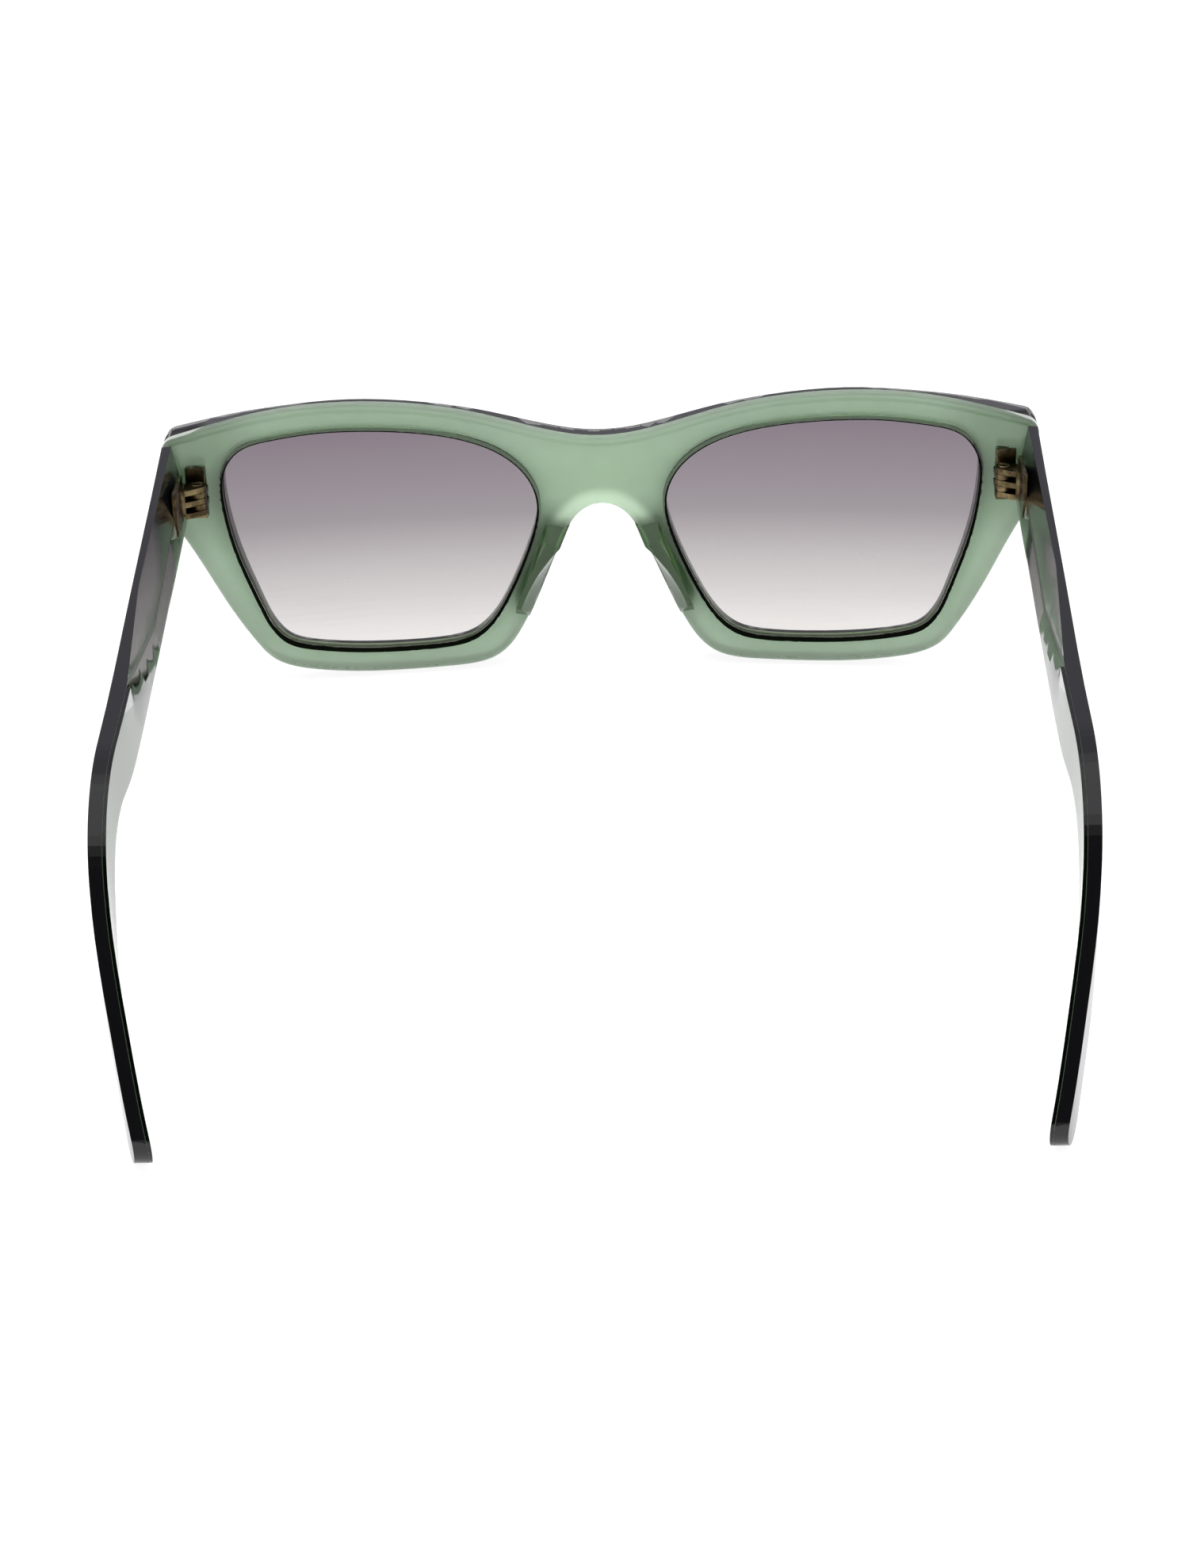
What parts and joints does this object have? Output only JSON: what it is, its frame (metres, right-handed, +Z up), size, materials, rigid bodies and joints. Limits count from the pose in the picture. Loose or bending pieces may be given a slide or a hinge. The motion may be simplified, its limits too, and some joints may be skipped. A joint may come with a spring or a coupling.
{
  "type": "cat eye sunglasses",
  "caption": "Cat-eye sunglasses with a black and clear green laminated acetate front, graded grey lenses, nose pads and folding temples on screwed barrel hinges.",
  "frame": {"origin": "bottom centre of the bounding box, with the temples open and the rims and temple tips resting on the table", "axes": "+X towards the wearer's left, the front faces -Y, the temples run to +Y, +Z up; the width along X is the longest extent and the height along Z is the shortest"},
  "size_m": [0.1434, 0.1396, 0.0481],
  "materials": {
    "black_acetate": "polished",
    "green_acetate": "polished, clear",
    "opal_acetate": "bonded inside",
    "graded_lens": "polished, graded from top to bottom",
    "antique_gold": "worn antique gold plate",
    "screw_gold": "worn plate",
    "core_wire": "plain"
  },
  "bodies": {
    "front": {"front_black_ply": "black_acetate", "front_opal_ply": "opal_acetate", "front_green_ply": "green_acetate", "lens_left": "graded_lens", "lens_right": "graded_lens", "nose_pad_left": "green_acetate", "nose_pad_right": "green_acetate", "front_hinge_left": "antique_gold", "front_hinge_right": "antique_gold"},
    "temple_left": {"temple_black_ply_left": "black_acetate", "temple_opal_ply_left": "opal_acetate", "temple_green_ply_left": "green_acetate", "temple_core_wire_left": "core_wire", "temple_hinge_left": "antique_gold", "hinge_screw_left": "screw_gold"},
    "temple_right": {"temple_black_ply_right": "black_acetate", "temple_opal_ply_right": "opal_acetate", "temple_green_ply_right": "green_acetate", "temple_core_wire_right": "core_wire", "temple_hinge_right": "antique_gold", "hinge_screw_right": "screw_gold"}
  },
  "joints": [
    {"name": "fold_left", "type": "hinge", "parent": "front", "child": "temple_left", "pos_m": [0.0658, -0.05438, 0.03399], "axis": [0, -0.1392, 0.9903], "range_deg": [0, 87]},
    {"name": "fold_right", "type": "hinge", "parent": "front", "child": "temple_right", "pos_m": [-0.0658, -0.05438, 0.03399], "axis": [0, 0.1392, -0.9903], "range_deg": [0, 76]}
  ]
}
